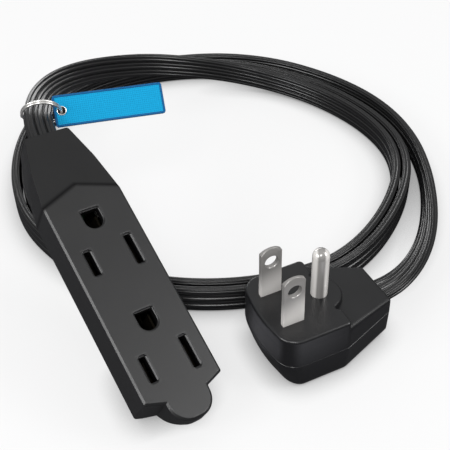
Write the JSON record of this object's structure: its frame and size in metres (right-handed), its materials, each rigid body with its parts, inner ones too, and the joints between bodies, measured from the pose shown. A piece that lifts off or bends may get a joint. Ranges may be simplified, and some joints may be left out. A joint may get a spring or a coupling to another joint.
{
  "type": "flat plug extension cord",
  "caption": "Short flat extension cord with a low flat plug, a slim outlet block with a tapered neck, a loosely coiled flat cord and a cloth tag on a split ring.",
  "frame": {"origin": "on the plug's flat back, under the middle between the two blades", "axes": "+Z along the prongs, +X from the blades to the ground pin and the cord's exit, +Y from the line blade to the neutral blade"},
  "size_m": [0.1449, 0.1766, 0.0536],
  "materials": {
    "vinyl": "satin black vinyl",
    "hard_black": "satin black",
    "nickel": "bright nickel plate",
    "brass": "plain",
    "steel": "plain",
    "lead_black": "plain",
    "lead_white": "plain",
    "lead_green": "plain",
    "cloth_blue": "woven",
    "thread_blue": "stitched"
  },
  "bodies": {
    "root": {"plug_body": "vinyl", "prong_bridge": "hard_black", "line_blade": "nickel", "neutral_blade": "nickel", "ground_pin": "nickel", "line_crimp": "nickel", "neutral_crimp": "nickel", "ground_crimp": "nickel", "plug_line_lead": "lead_black", "plug_neutral_lead": "lead_white", "plug_ground_lead": "lead_green", "cord_plug_end": "vinyl", "cord_loop": "vinyl", "cord_block_end": "vinyl", "outlet_cover": "hard_black", "outlet_base": "hard_black", "line_bus": "brass", "neutral_bus": "brass", "ground_bus": "brass", "block_line_lead": "lead_black", "block_neutral_lead": "lead_white", "block_ground_lead": "lead_green", "cord_clamp": "hard_black", "cover_screws": "steel", "tag_cloth": "cloth_blue", "tag_border": "thread_blue", "tag_eyelet": "steel", "split_ring": "steel"}
  },
  "joints": []
}
